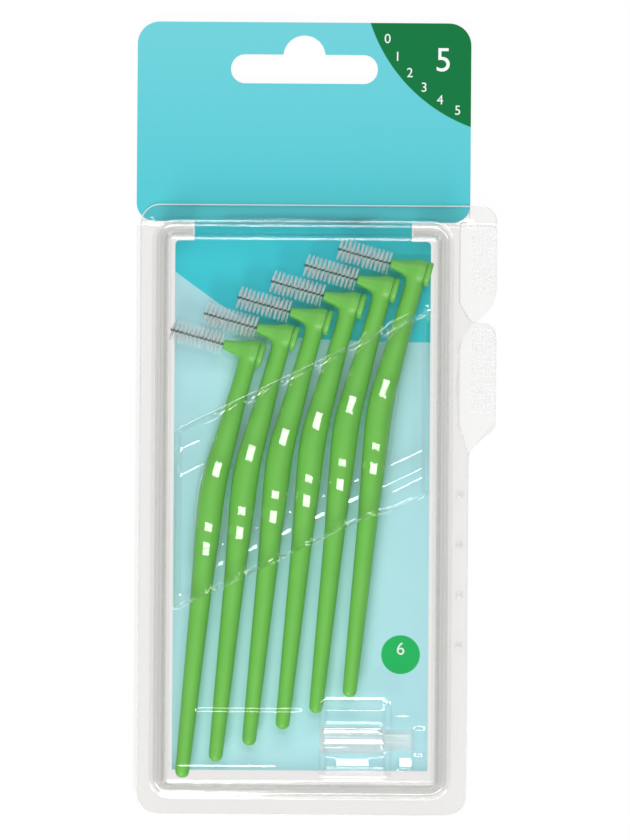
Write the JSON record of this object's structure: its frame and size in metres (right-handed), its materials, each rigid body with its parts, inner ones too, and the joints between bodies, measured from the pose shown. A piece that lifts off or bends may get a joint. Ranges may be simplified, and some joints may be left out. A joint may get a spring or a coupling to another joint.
{
  "type": "interdental brush pack",
  "caption": "Hinged clear clamshell with a hang card holding a slanted row of angled interdental brushes with bent handles, bristles on twisted wire and a loose protective cap.",
  "frame": {"origin": "on the flat back face of the rear shell, at the middle of the pack's outline", "axes": "+Z out of the front of the pack, +Y towards the hang slot, +X towards the finger tabs"},
  "size_m": [0.0811, 0.1781, 0.0093],
  "materials": {
    "clear_plastic": "clear thermoformed sheet",
    "cap_plastic": "clear injection moulded",
    "card": "printed, satin",
    "green_plastic": "satin moulded",
    "coated_wire": "dark plastic coat",
    "nylon": "translucent filament"
  },
  "bodies": {
    "tray": {"rear_shell": "clear_plastic", "living_hinge": "clear_plastic", "printed_card": "card", "protective_cap": "cap_plastic", "brush_1_handle": "green_plastic", "brush_1_plug": "green_plastic", "brush_1_wire": "coated_wire", "brush_1_bristles": "nylon", "brush_2_handle": "green_plastic", "brush_2_plug": "green_plastic", "brush_2_wire": "coated_wire", "brush_2_bristles": "nylon", "brush_3_handle": "green_plastic", "brush_3_plug": "green_plastic", "brush_3_wire": "coated_wire", "brush_3_bristles": "nylon", "brush_4_handle": "green_plastic", "brush_4_plug": "green_plastic", "brush_4_wire": "coated_wire", "brush_4_bristles": "nylon", "brush_5_handle": "green_plastic", "brush_5_plug": "green_plastic", "brush_5_wire": "coated_wire", "brush_5_bristles": "nylon", "brush_6_handle": "green_plastic", "brush_6_plug": "green_plastic", "brush_6_wire": "coated_wire", "brush_6_bristles": "nylon"},
    "lid": {"front_shell": "clear_plastic"}
  },
  "joints": [
    {"name": "lid_hinge", "type": "hinge", "parent": "tray", "child": "lid", "pos_m": [-0.03707, -0.0202, 0.00042], "axis": [0, -1, 0], "range_deg": [0, 125]}
  ]
}
